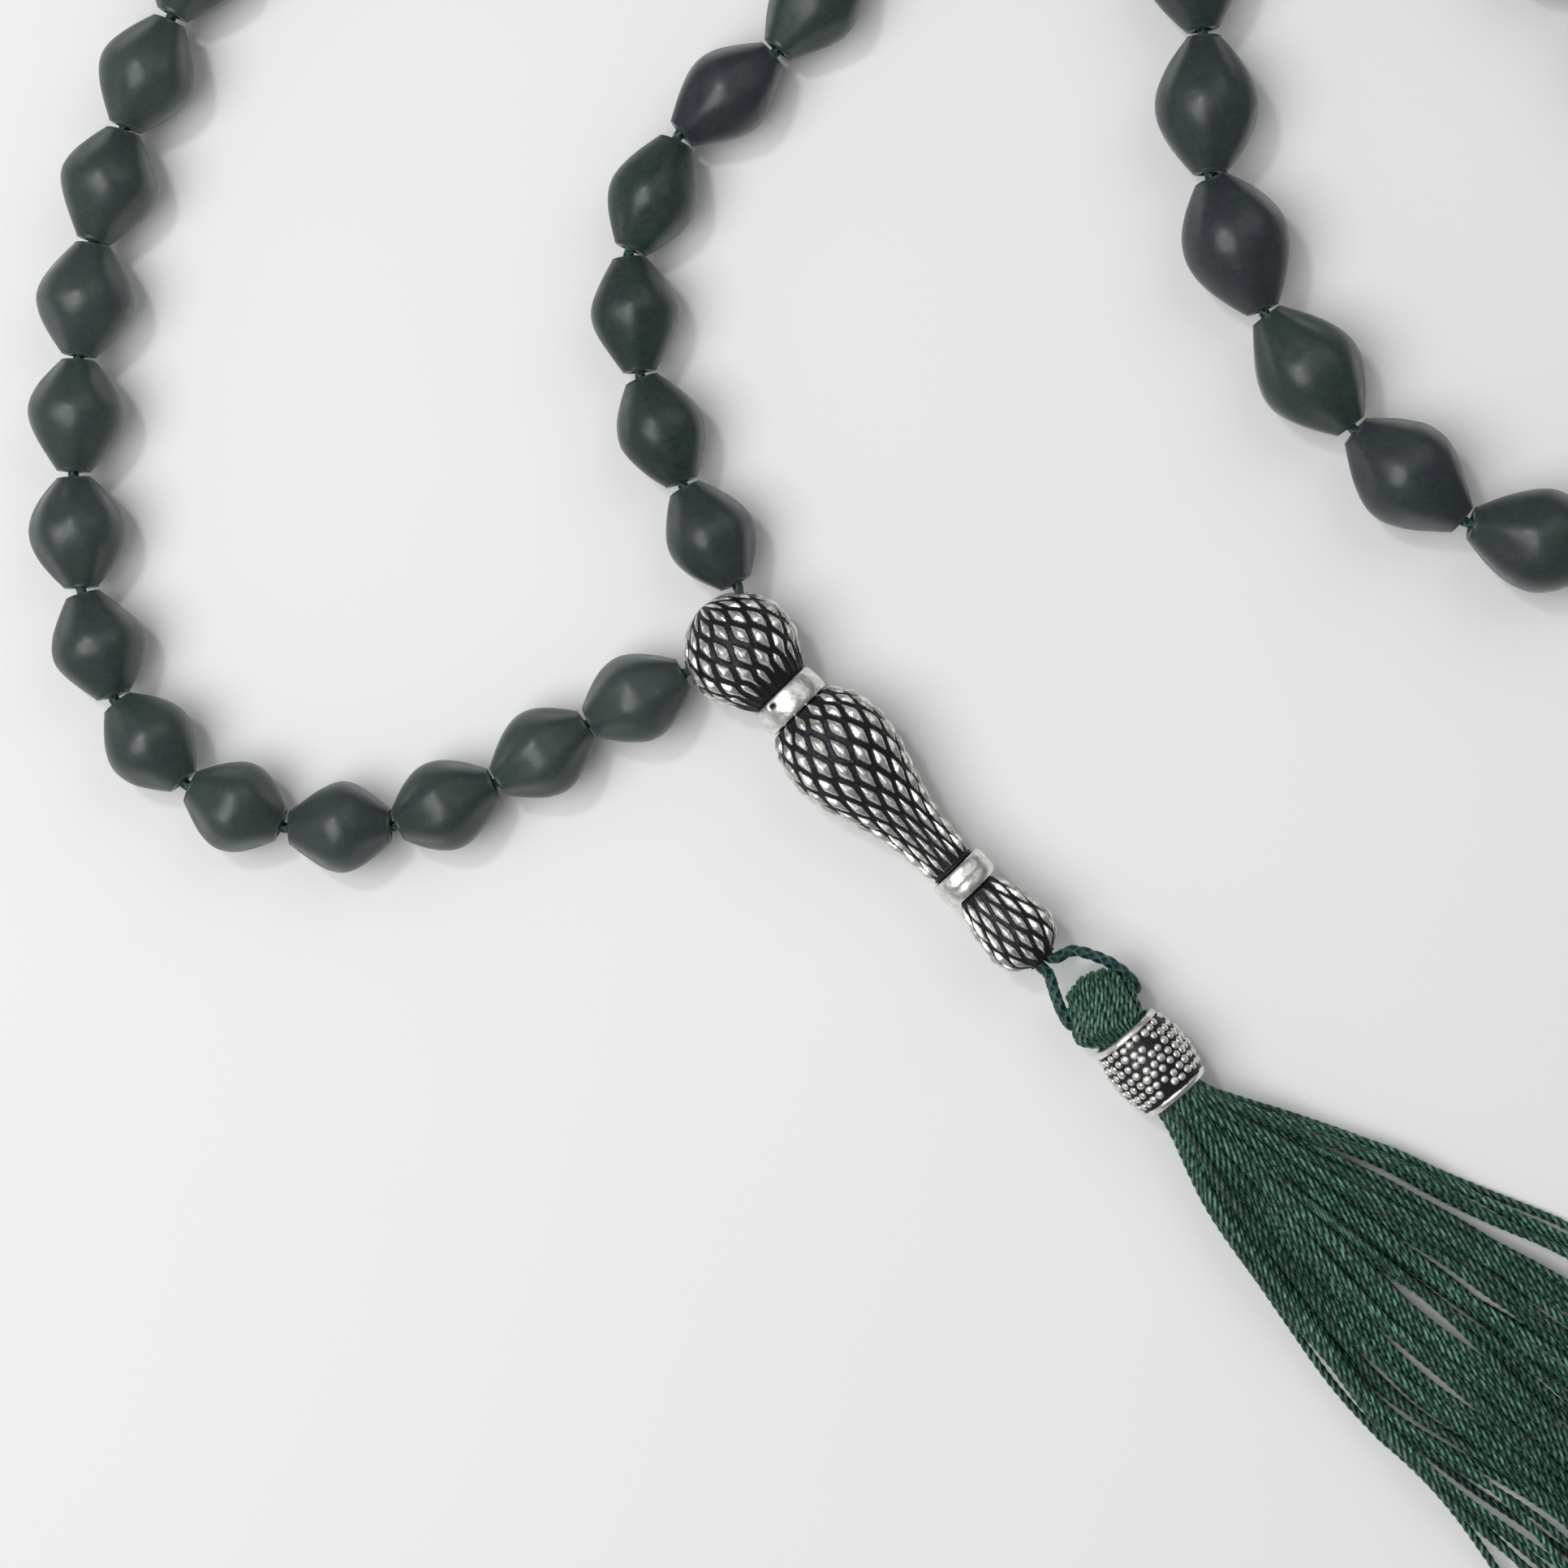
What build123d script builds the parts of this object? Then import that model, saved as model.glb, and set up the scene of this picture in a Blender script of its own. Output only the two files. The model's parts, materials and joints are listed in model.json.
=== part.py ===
from build123d import *
import math
import os

# Misbaha (prayer beads) laid out flat on a table, in millimetres, +Z up.
# The origin is on the table, straight under the centre of the imame's round head.

# ---------------------------------------------------------------- driving dimensions
BEAD_COUNT = 45
BEAD_END_RADIUS = 1.45
BEAD_BORE_RADIUS = 0.65
CORD_RADIUS = 0.45
BEND_CLEARANCE = 0.1
# The loop's chains of bodies meet at this gap, a little off when they are bent, so it is wider.
OPEN_GAP = 14
OPEN_GAP_CLEARANCE = 0.6
CORD_END_SETBACK = 0.3

# Beads are graded: size by place along the strand, as bead number: millimetres.
BEAD_LENGTHS = {1: 8.6, 3: 8.45, 5: 8.0, 8: 8.95, 12: 9.3, 20: 10.0, 31: 11.15, 34: 11.4, 38: 10.2, 41: 9.75, 45: 8.75}
BEAD_WIDTHS = {1: 7.5, 6: 7.7, 10: 8.0, 20: 8.4, 31: 8.8, 34: 8.8, 38: 7.9, 42: 7.3, 45: 7.4}

# How far the strand can sway and swing each way, in degrees.
SWAY = 12
SWING = 15

# The cord is stiff between these gaps; each entry is (node, first bead, last bead).
CORD_SEGMENTS = (
    ("cord_lower_left", 1, 8),
    ("cord_left_side", 9, 12),
    ("cord_upper_left", 13, 13),
    ("cord_far_link", 14, 14),
    ("cord_far_loop", 15, 40),
    ("cord_middle", 41, 44),
    ("cord_beside_imame", 45, 45),
)
# Gap number, counted as the bead before it: how far the cord bends there, in degrees.
BENDS_AT_GAPS = {8: SWAY, 12: SWAY, 13: SWING, 14: SWING, 40: SWAY, 44: SWAY}

# Line of the strand in plan, from the imame's left side hole right round to its top side hole.
STRAND_START_ANGLE = 201.5
STRAND_END_ANGLE = 94.0
STRAND_BENDS = (
    (-16.0, -8.2), (-24.2, -12.9), (-32.8, -14.8), (-41.2, -13.0), (-48.5, -7.7), (-52.7, 1.0),
    (-54.1, 10.2), (-54.0, 19.8), (-51.3, 38.6), (-48.0, 47.4), (-45.0, 54.0), (-40.6, 62.2),
    (-32.0, 70.8), (-4.0, 78.7), (20.0, 79.9), (44.0, 73.2), (64.5, 58.6), (80.0, 40.6),
    (84.8, 28.8), (82.8, 17.0), (75.0, 9.0), (63.8, 7.7), (54.1, 14.0), (45.4, 22.2),
    (39.8, 33.0), (36.9, 44.2), (37.6, 54.6), (33.1, 64.7), (22.5, 69.0), (12.7, 63.0), (6.2, 51.8),
    (-1.4, 45.4), (-7.9, 37.4), (-9.2, 27.4), (-6.7, 17.7),
)

# Imame: a turned silver casting. Places are measured along its axis from the head's centre.
IMAME_ANGLE = -45.7
HEAD_RADIUS = 4.75
HEAD_NECK_RADIUS = 2.7
HEAD_LENGTH = 4.4
SEAT_CLEARANCE = 0.05
UPPER_COLLAR = {"start": 4.5, "end": 6.8, "outer": 3.0, "inner": 2.45}
LOWER_COLLAR = {"start": 24.6, "end": 26.9, "outer": 2.55, "inner": 1.85}
VASE_OUTLINE = ((7.0, 3.3), (11.4, 4.7), (15.1, 3.93), (19.5, 2.6), (24.4, 2.05))
FOOT_OUTLINE = ((27.1, 2.05), (28.4, 2.45), (31.8, 3.1), (33.9, 2.5))
FOOT_END = 34.7
FOOT_END_RADIUS = 1.5
IMAME_BORE_RADIUS = 1.15
KNOT_CAVITY_RADIUS = 2.3
KNOT_RADIUS = 1.7
SIDE_HOLE_RADIUS = 0.8
SIDE_HOLE_HEIGHT = 4.1
HEAD_GAP_LEFT = 0.2
HEAD_GAP_TOP = 0.5
BEAD_GAP_AT_HEAD = 0.2
CORE_CORD_OFFSET = 0.52

# Hanger cord: two legs from the foot, joined by a stretch through the fold of the tassel's skein.
HANGER_PIVOT = FOOT_END + 0.6
FOLD_CENTRE = (29.3, -28.85, 3.65)
NECK_ANGLE = -58.0
HANGER_HALF_WIDTH = 3.05
UPPER_LEG = ((-4.96, 0.09), (-3.91, 1.38), (-2.66, 2.3), (-1.5, 2.85))
LOWER_LEG = ((-3.6, -2.6), (-2.1, -3.0))

# Tassel: neck, sleeve and threads.
NECK_HEAD_RADIUS = 2.5
NECK_HEAD_SETBACK = 0.35
NECK_HOLE_RADIUS = 0.6
SLEEVE_ANGLE = -49.5
SLEEVE_TOP = (30.9, -30.8, 3.65)
SLEEVE_LENGTH = 6.8
SLEEVE_BORE_RADIUS = 2.4
SLEEVE_RIM_RADIUS = 2.85
SLEEVE_BELLY_RADIUS = 3.65
SLEEVE_RIM_LENGTH = 0.5
BUNDLE_RADIUS = 2.25
SHOULDER_CLEARANCE = 0.08
SKIRT_PIVOT = 8.0
SKIRT_HEAD_RADIUS = 2.1
SOCKET_CLEARANCE = 0.1
SOCKET_SETBACK = 1.0
SKIRT_ANGLE = -39.5
# Sections of the fan of threads: distance from the pivot, half width, half height, middle's height.
SKIRT_SECTIONS = (
    (0.0, 2.1, 2.1, 3.65), (6.0, 4.6, 2.1, 2.9), (16.0, 7.9, 1.75, 1.9), (30.0, 11.7, 1.45, 1.55),
    (46.0, 14.4, 1.3, 1.4), (64.0, 15.9, 1.2, 1.3), (85.0, 16.5, 1.1, 1.2),
)

# ---------------------------------------------------------------- derived places
def direction(angle):
    """Unit vector in plan at this angle from +X, in degrees."""
    return Vector(math.cos(math.radians(angle)), math.sin(math.radians(angle)), 0)


HEAD_CENTRE = Vector(0, 0, HEAD_RADIUS)
IMAME_AXIS = direction(IMAME_ANGLE)
HANGER_CENTRE = HEAD_CENTRE + IMAME_AXIS * HANGER_PIVOT
FOLD = Vector(*FOLD_CENTRE)
NECK_AXIS = direction(NECK_ANGLE)
FOLD_AXIS = direction(NECK_ANGLE + 90)
SLEEVE_AXIS = direction(SLEEVE_ANGLE)
SLEEVE_START = Vector(*SLEEVE_TOP)
SKIRT_CENTRE = SLEEVE_START + SLEEVE_AXIS * SKIRT_PIVOT
SKIRT_AXIS = direction(SKIRT_ANGLE)


def graded(sizes, bead):
    """Size of this bead, read off a line between the sizes stated on either side of it."""
    stations = sorted(sizes)
    for low, high in zip(stations, stations[1:]):
        if low <= bead <= high:
            share = (bead - low) / (high - low)
            return sizes[low] + share * (sizes[high] - sizes[low])
    return sizes[stations[-1]]


def bead_length(bead):
    return graded(BEAD_LENGTHS, bead)


def bead_radius(bead):
    return graded(BEAD_WIDTHS, bead) / 2


# ---------------------------------------------------------------- laying out the strand
def strand_line():
    """The strand's line in plan, between the pivots just outside the two side holes."""
    start = direction(STRAND_START_ANGLE) * (HEAD_RADIUS + HEAD_GAP_LEFT)
    end = direction(STRAND_END_ANGLE) * (HEAD_RADIUS + HEAD_GAP_TOP)
    return Spline([start, *[Vector(x, y, 0) for x, y in STRAND_BENDS], end])


def place_on(line, distance):
    """Point on the line at this distance from its start, or straight on past its end."""
    beyond = distance - line.length
    if beyond > 0:
        return line.position_at(1) + line.tangent_at(1) * beyond
    return line.position_at(distance, PositionMode.LENGTH)


def step_along(line, distance, pitch):
    """Distance along the line of the point that is one straight pitch on from another."""
    start = place_on(line, distance)
    step = pitch
    for _ in range(4):
        step += pitch - (place_on(line, distance + step) - start).length
    return distance + step


def turn_at(points, gap):
    """Angle between the two beads on either side of a gap, in degrees."""
    if gap in (0, BEAD_COUNT):
        return 0
    before = points[gap] - points[gap - 1]
    after = points[gap + 1] - points[gap]
    return before.get_angle(after)


def gap_widths(points, slack):
    """Free length of cord at each gap: the slack, and what the bead ends need to turn."""
    widths = []
    for gap in range(BEAD_COUNT + 1):
        turn = turn_at(points, gap) + BENDS_AT_GAPS.get(gap, 0)
        width = slack + 2 * BEAD_END_RADIUS * math.tan(math.radians(turn / 2))
        if gap in BENDS_AT_GAPS:
            width += BEND_CLEARANCE
        if gap == OPEN_GAP:
            width += OPEN_GAP_CLEARANCE
        widths.append(width)
    widths[0] = widths[BEAD_COUNT] = 2 * BEAD_GAP_AT_HEAD
    return widths


def gap_points():
    """Middle of every gap in plan. The loop's slack is shared out so that the beads fill the line."""
    line = strand_line()
    points = [place_on(line, line.length * gap / BEAD_COUNT) for gap in range(BEAD_COUNT + 1)]
    slack = 0.0
    for _ in range(8):
        widths = gap_widths(points, slack)
        distance = 0.0
        points = [place_on(line, 0)]
        for bead in range(1, BEAD_COUNT + 1):
            pitch = bead_length(bead) + (widths[bead - 1] + widths[bead]) / 2
            distance = step_along(line, distance, pitch)
            points.append(place_on(line, distance))
        slack += (line.length - distance) / BEAD_COUNT
    points[BEAD_COUNT] = place_on(line, line.length)
    return points, slack


def pivots():
    """Middle of every gap in space: the cord runs at the height of the beads' middles."""
    points, _ = gap_points()
    placed = []
    for gap, point in enumerate(points):
        if gap in (0, BEAD_COUNT):
            height = SIDE_HOLE_HEIGHT
        else:
            height = (bead_radius(gap) + bead_radius(gap + 1)) / 2
        placed.append(Vector(point.X, point.Y, height))
    return placed


# ---------------------------------------------------------------- shapes used more than once
def cylinder_between(start, end, radius):
    along = end - start
    plane = Plane(origin=start, z_dir=along.normalized())
    return extrude(plane * Circle(radius), amount=along.length)


def ball(centre, radius):
    return Pos(*centre) * Sphere(radius)


def cord_through(points):
    """A cord of even thickness along straight lengths between these points, rounded at each bend."""
    line = Polyline(points) if len(points) > 2 else Line(*points)
    start = Plane(origin=points[0], z_dir=(points[1] - points[0]).normalized())
    return sweep(start * Circle(CORD_RADIUS), path=line, transition=Transition.ROUND)


def turned(outline, place):
    """Solid of revolution about the place's Z axis from a closed outline in its XZ plane."""
    return place * revolve(Plane.XZ * make_face(outline), Axis.Z)


def imame_place():
    return Plane(origin=HEAD_CENTRE, x_dir=(0, 0, 1), z_dir=IMAME_AXIS).location


# ---------------------------------------------------------------- strand
def bead(number, points):
    """Hand-cut barrel bead: slightly convex flanks, rounded waist, flat ends and a bore."""
    half = bead_length(number) / 2
    widest = bead_radius(number)
    waist = half * 0.22
    waist_radius = widest * 0.955
    middle = (half + waist) / 2
    flank_radius = (BEAD_END_RADIUS + waist_radius) / 2 + widest * 0.055
    lower_flank = ThreePointArc(
        (BEAD_END_RADIUS, -half), (flank_radius, -middle), (waist_radius, -waist)
    )
    belly = ThreePointArc((waist_radius, -waist), (widest, 0), (waist_radius, waist))
    upper_flank = ThreePointArc(
        (waist_radius, waist), (flank_radius, middle), (BEAD_END_RADIUS, half)
    )
    ends_and_bore = Polyline(
        (BEAD_END_RADIUS, half), (BEAD_BORE_RADIUS, half), (BEAD_BORE_RADIUS, -half),
        (BEAD_END_RADIUS, -half),
    )
    along = points[number] - points[number - 1]
    centre = points[number - 1] + along * 0.5
    place = Plane(origin=centre, z_dir=along.normalized()).location
    return turned([lower_flank, belly, upper_flank, ends_and_bore], place)


def cord_segment(first, last, points):
    """One stiff length of cord through these beads, cut back a little from the pivots at its ends."""
    line = list(points[first - 1:last + 1])
    line[0] = line[0] + (line[1] - line[0]).normalized() * CORD_END_SETBACK
    line[-1] = line[-1] + (line[-2] - line[-1]).normalized() * CORD_END_SETBACK
    return cord_through(line)


# ---------------------------------------------------------------- imame
def imame_outline():
    """Closed half outline of the casting, as (radius, place along the axis)."""
    top = CenterArc((0, 0), HEAD_RADIUS, -90, 90)
    head = TangentArc((HEAD_RADIUS, 0), (HEAD_NECK_RADIUS, HEAD_LENGTH), tangent=(0, 1))
    upper_seat = UPPER_COLLAR["inner"] - SEAT_CLEARANCE
    lower_seat = LOWER_COLLAR["inner"] - SEAT_CLEARANCE
    vase_points = [(radius, place) for place, radius in VASE_OUTLINE]
    foot_points = [(radius, place) for place, radius in FOOT_OUTLINE]
    collar_step = 0.1
    under_upper = Polyline(
        (HEAD_NECK_RADIUS, HEAD_LENGTH), (upper_seat, HEAD_LENGTH),
        (upper_seat, UPPER_COLLAR["end"] + collar_step), (vase_points[0][0], vase_points[0][1]),
    )
    vase = Spline(vase_points)
    under_lower = Polyline(
        vase_points[-1], (lower_seat, LOWER_COLLAR["start"] - collar_step),
        (lower_seat, LOWER_COLLAR["end"] + collar_step), foot_points[0],
    )
    foot = Spline([*foot_points, (FOOT_END_RADIUS, FOOT_END)])
    close = Polyline((FOOT_END_RADIUS, FOOT_END), (0, FOOT_END), (0, -HEAD_RADIUS))
    return [top, head, under_upper, vase, under_lower, foot, close]


def imame_casting(points):
    """Silver casting with a bore, a hollow in the head for the knot and two side holes."""
    place = imame_place()
    body = turned(imame_outline(), place)
    bore = cylinder_between(
        HEAD_CENTRE, HEAD_CENTRE + IMAME_AXIS * (FOOT_END + 1), IMAME_BORE_RADIUS
    )
    hollow = ball(HEAD_CENTRE, KNOT_CAVITY_RADIUS)
    holes = []
    for pivot in (points[0], points[-1]):
        beyond = HEAD_CENTRE + (pivot - HEAD_CENTRE) * 1.2
        holes.append(cylinder_between(HEAD_CENTRE, beyond, SIDE_HOLE_RADIUS))
    return body.cut(bore, hollow, *holes)


def collar(size):
    """Plain polished band with a slightly crowned outside."""
    crown = size["outer"]
    edge = crown - 0.18
    middle = (size["start"] + size["end"]) / 2
    outside = ThreePointArc((edge, size["start"]), (crown, middle), (edge, size["end"]))
    inside = Polyline(
        (edge, size["end"]), (size["inner"], size["end"]), (size["inner"], size["start"]),
        (edge, size["start"]),
    )
    return turned([outside, inside], imame_place())


def core_cord(points):
    """Knot in the head, two tails out of the side holes and two down the bore to the foot."""
    pieces = [ball(HEAD_CENTRE, KNOT_RADIUS)]
    for pivot in (points[0], points[-1]):
        inward = (HEAD_CENTRE - pivot).normalized() * CORD_END_SETBACK
        pieces.append(cylinder_between(HEAD_CENTRE, pivot + inward, CORD_RADIUS))
    sideways = direction(IMAME_ANGLE + 90) * CORE_CORD_OFFSET
    for offset in (sideways, sideways * -1):
        start = HEAD_CENTRE + offset
        pieces.append(cylinder_between(start, start + IMAME_AXIS * FOOT_END, CORD_RADIUS))
    return pieces[0].fuse(*pieces[1:])


# ---------------------------------------------------------------- tassel
def beside_fold(along, across, height):
    """Point placed from the fold's centre, along the neck and across it."""
    point = FOLD + NECK_AXIS * along + FOLD_AXIS * across
    return Vector(point.X, point.Y, height)


def hanger_leg(bends, side):
    """Points of one leg, from beside its pivot at the foot to the end of the fold on one side."""
    drop = HANGER_CENTRE.Z - FOLD.Z
    points = [HANGER_CENTRE + direction(IMAME_ANGLE + 90) * (side * CORE_CORD_OFFSET)]
    for step, (along, across) in enumerate(bends, start=1):
        height = HANGER_CENTRE.Z - drop * step / (len(bends) + 1)
        points.append(beside_fold(along, across, height))
    points.append(beside_fold(0, side * HANGER_HALF_WIDTH, FOLD.Z))
    return points


def hanger_cord():
    """Cord from the imame's foot, round through the fold of the skein and back to the foot."""
    return cord_through([*hanger_leg(UPPER_LEG, 1), *reversed(hanger_leg(LOWER_LEG, -1))])


def tassel_neck():
    """Skein folded over the hanger cord, with its bundle of threads down through the sleeve."""
    head_centre = FOLD - NECK_AXIS * NECK_HEAD_SETBACK
    shoulder = SLEEVE_START - SLEEVE_AXIS * SHOULDER_CLEARANCE
    shoulder_start = shoulder - SLEEVE_AXIS * 1.6
    waist = loft([
        Plane(origin=head_centre, x_dir=(0, 0, 1), z_dir=NECK_AXIS) * Circle(NECK_HEAD_RADIUS),
        Plane(origin=shoulder_start, x_dir=(0, 0, 1), z_dir=SLEEVE_AXIS) * Circle(NECK_HEAD_RADIUS),
        Plane(origin=shoulder, x_dir=(0, 0, 1), z_dir=SLEEVE_AXIS) * Circle(BUNDLE_RADIUS),
    ])
    bundle_end = SKIRT_CENTRE - SLEEVE_AXIS * SOCKET_SETBACK
    bundle = cylinder_between(shoulder, bundle_end, BUNDLE_RADIUS)
    socket = ball(SKIRT_CENTRE, SKIRT_HEAD_RADIUS + SOCKET_CLEARANCE)
    hole_reach = FOLD_AXIS * (HANGER_HALF_WIDTH + 1)
    hole = cylinder_between(FOLD - hole_reach, FOLD + hole_reach, NECK_HOLE_RADIUS)
    return ball(head_centre, NECK_HEAD_RADIUS).fuse(waist, bundle).cut(socket, hole)


def tassel_sleeve():
    """Barrel-shaped silver sleeve with a short plain rim at each end."""
    belly_end = SLEEVE_LENGTH - SLEEVE_RIM_LENGTH
    belly = ThreePointArc(
        (SLEEVE_RIM_RADIUS, SLEEVE_RIM_LENGTH), (SLEEVE_BELLY_RADIUS, SLEEVE_LENGTH / 2),
        (SLEEVE_RIM_RADIUS, belly_end),
    )
    rims_and_bore = Polyline(
        (SLEEVE_RIM_RADIUS, belly_end), (SLEEVE_RIM_RADIUS, SLEEVE_LENGTH),
        (SLEEVE_BORE_RADIUS, SLEEVE_LENGTH), (SLEEVE_BORE_RADIUS, 0), (SLEEVE_RIM_RADIUS, 0),
        (SLEEVE_RIM_RADIUS, SLEEVE_RIM_LENGTH),
    )
    place = Plane(origin=SLEEVE_START, x_dir=(0, 0, 1), z_dir=SLEEVE_AXIS).location
    return turned([belly, rims_and_bore], place)


def tassel_threads():
    """Fan of loose threads below the sleeve: a round head in the socket, then a flattening fan."""
    across = direction(SKIRT_ANGLE + 90)
    sections = []
    for distance, half_width, half_height, height in SKIRT_SECTIONS:
        centre = SKIRT_CENTRE + SKIRT_AXIS * distance
        plane = Plane(origin=(centre.X, centre.Y, height), x_dir=across, z_dir=SKIRT_AXIS)
        sections.append(plane * Ellipse(half_width, half_height))
    return loft(sections, ruled=True).fuse(ball(SKIRT_CENTRE, SKIRT_HEAD_RADIUS))


# ---------------------------------------------------------------- the assembly
def all_nodes():
    points = pivots()
    nodes = {}
    for number in range(1, BEAD_COUNT + 1):
        nodes[f"bead_{number:02d}"] = bead(number, points)
    for name, first, last in CORD_SEGMENTS:
        nodes[name] = cord_segment(first, last, points)
    nodes["imame_casting"] = imame_casting(points)
    nodes["upper_collar"] = collar(UPPER_COLLAR)
    nodes["lower_collar"] = collar(LOWER_COLLAR)
    nodes["core_cord"] = core_cord(points)
    nodes["hanger_cord"] = hanger_cord()
    nodes["tassel_neck"] = tassel_neck()
    nodes["tassel_sleeve"] = tassel_sleeve()
    nodes["tassel_threads"] = tassel_threads()
    return nodes


def write_parts():
    os.makedirs("parts", exist_ok=True)
    for name, shape in all_nodes().items():
        export_step(shape, f"parts/{name}.step")


if __name__ == "__main__":
    write_parts()
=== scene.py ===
import json
import math

import bpy
import numpy as np
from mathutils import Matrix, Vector, noise


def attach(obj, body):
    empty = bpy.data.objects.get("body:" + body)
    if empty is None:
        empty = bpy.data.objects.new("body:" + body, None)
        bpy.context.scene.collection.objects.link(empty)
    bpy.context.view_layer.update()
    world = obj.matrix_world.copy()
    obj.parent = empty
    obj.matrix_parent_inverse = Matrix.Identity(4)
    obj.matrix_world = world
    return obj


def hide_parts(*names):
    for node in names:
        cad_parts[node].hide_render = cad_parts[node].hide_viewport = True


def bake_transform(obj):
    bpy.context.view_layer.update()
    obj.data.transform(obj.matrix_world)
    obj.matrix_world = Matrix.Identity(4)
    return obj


# Looks of the misbaha: stone beads, oxidised silver, braided cords and a tassel of twisted threads.
# Lengths are millimetres until mesh_piece() turns them into metres. +Z is up, as in the CAD.

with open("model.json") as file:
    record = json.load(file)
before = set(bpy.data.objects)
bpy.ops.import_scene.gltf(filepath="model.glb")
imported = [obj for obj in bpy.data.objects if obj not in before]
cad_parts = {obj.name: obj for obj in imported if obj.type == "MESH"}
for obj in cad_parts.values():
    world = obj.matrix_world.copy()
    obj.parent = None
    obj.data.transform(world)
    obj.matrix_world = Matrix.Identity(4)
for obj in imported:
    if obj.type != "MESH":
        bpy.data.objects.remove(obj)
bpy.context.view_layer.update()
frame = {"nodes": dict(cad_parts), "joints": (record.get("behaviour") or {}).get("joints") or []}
JOINTS = {joint["name"]: joint for joint in frame["joints"]}
MM = 0.001
UP = np.array([0.0, 0.0, 1.0])
SPAN_POINTS = 20

# ---------------------------------------------------------------- strand
BEAD_COUNT = 45
BEAD_SIDES = 72
BEAD_RINGS = 47
BORE_RADIUS = 0.65
BORE_FLARE = 0.08
END_RADIUS = 1.46
CHAMFER = 0.1
# Ranges drawn from for each bead: how rounded its waist is, how far that is off the middle, and its facets.
SOFTNESS = (0.6, 1.3)
LEAN = (-0.05, 0.05)
FACETS = (5, 8)
FACET_DEPTH = 0.02
OVAL = 0.3
LUMP_SIZE = 2.6
LUMP_DEPTH = 0.018
# How blue each bead's stone is, from 0 (green) to 1 (blue-violet). The other beads' tints are drawn.
STONE_TINTS = {
    1: 0.45, 2: 0.1, 3: 0.3, 4: 0.6, 5: 0.15, 6: 0.3, 7: 0.4, 8: 0.55, 9: 0.25, 10: 0.5, 11: 0.2, 12: 0.1,
    31: 0.55, 32: 0.7, 33: 0.1, 34: 0.85, 35: 0.5, 36: 0.4,
    40: 0.05, 41: 0.9, 42: 0.1, 43: 0.15, 44: 0.3, 45: 0.6,
}
# These beads' stone is paler. How pale a bead is, is drawn from one of the two ranges.
LIGHT_BEADS = range(1, 14)
LIGHT_HAZE = (0.18, 0.34)
DARK_HAZE = (0.0, 0.12)
CORD_RADIUS = 0.45
# The loop is open at the gap after this bead: the chains of bodies from the imame's two holes end there.
OPEN_GAP = 14
# The loop's cord bends at the gap after each of these beads: the body nearer the imame, then the other.
CORD_HINGES = {
    8: ("lower_left_strand", "left_strand"),
    12: ("left_strand", "upper_left_strand"),
    13: ("upper_left_strand", "far_link"),
    40: ("middle_strand", "far_loop"),
    44: ("strand_beside_imame", "middle_strand"),
}
# Stiff lengths of the loop's cord: body, the CAD node it stands for, first bead, last bead.
CORD_RUNS = (
    ("lower_left_strand", "cord_lower_left", 1, 8),
    ("left_strand", "cord_left_side", 9, 12),
    ("far_loop", "cord_far_loop", 15, 40),
    ("middle_strand", "cord_middle", 41, 44),
)

# ---------------------------------------------------------------- imame
IMAME_SIDES = 286
IMAME_STEP = 0.13
HEAD_RADIUS = 4.75
NECK_PLACE = 4.4
NECK_RADIUS = 2.7
VASE_OUTLINE = (
    (7.0, 3.3), (9.0, 4.35), (11.4, 4.7), (13.3, 4.45), (15.1, 3.93), (19.5, 2.6), (24.4, 2.05),
)
FOOT_OUTLINE = (
    (27.1, 2.05), (28.4, 2.45), (30.2, 2.85), (31.8, 3.1), (33.0, 2.95), (33.9, 2.5), (34.7, 1.5),
)
UPPER_SEAT_RADIUS = 2.42
LOWER_SEAT_RADIUS = 1.83
SEAT_STEP = 0.1
BORE_AT_FOOT = 1.15
BORE_OUTLINE = ((34.85, BORE_AT_FOOT + 0.1), (34.6, BORE_AT_FOOT), (32.0, BORE_AT_FOOT))
RELIEF = 0.42
RIDGE_HEIGHT = 0.1
CRUMB_HEIGHT = 0.04
# Scales and the ridges between them, as shares of the spaces between scales round a row and between rows.
SCALE_HALF_WIDTH = 0.28
SCALE_HALF_LENGTH = 0.92
RIDGE_WIDTH = 0.13
# Above 1, a scale is fuller at its middle and its tips narrow faster.
SCALE_TAPER = 1.25
# Space between rows assumed beyond the first and the last, in millimetres.
END_ROW_PITCH = 1.1
SIDE_HOLE_RADIUS = 0.62
SIDE_HOLE_DEPTH = 1.4
# Rows of scales: places along the axis, scales round, the angle of the first one from the top, and
# the place where the relief ends.
SCALE_BANDS = (
    {"rows": (-4.3, -3.2, -2.2, -0.9, 0.45, 1.8, 2.9), "round": 13, "turn": -4.0, "end": 4.3},
    {
        "rows": (7.6, 8.5, 9.8, 11.4, 12.75, 14.2, 15.8, 17.1, 18.5, 20.1, 21.8, 23.3),
        "round": 13, "turn": 13.8, "end": 24.5,
    },
    {"rows": (28.1, 29.5, 31.1, 32.4, 33.7), "round": 12, "turn": 15.0, "end": 35.2},
)
UPPER_COLLAR = {"start": 4.5, "end": 6.8, "radius": 3.0, "inner": 2.45, "step": 0.0}
LOWER_COLLAR = {"start": 24.6, "end": 26.9, "radius": 2.55, "inner": 1.85, "step": 0.04}
COLLAR_SIDES = 160
COLLAR_RINGS = 21
# Place along the axis and angle from the top of the small pit in the upper collar.
PIT_PLACE = (5.0, -30.0)
PIT_RADIUS = 0.3
PIT_DEPTH = 0.18

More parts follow.
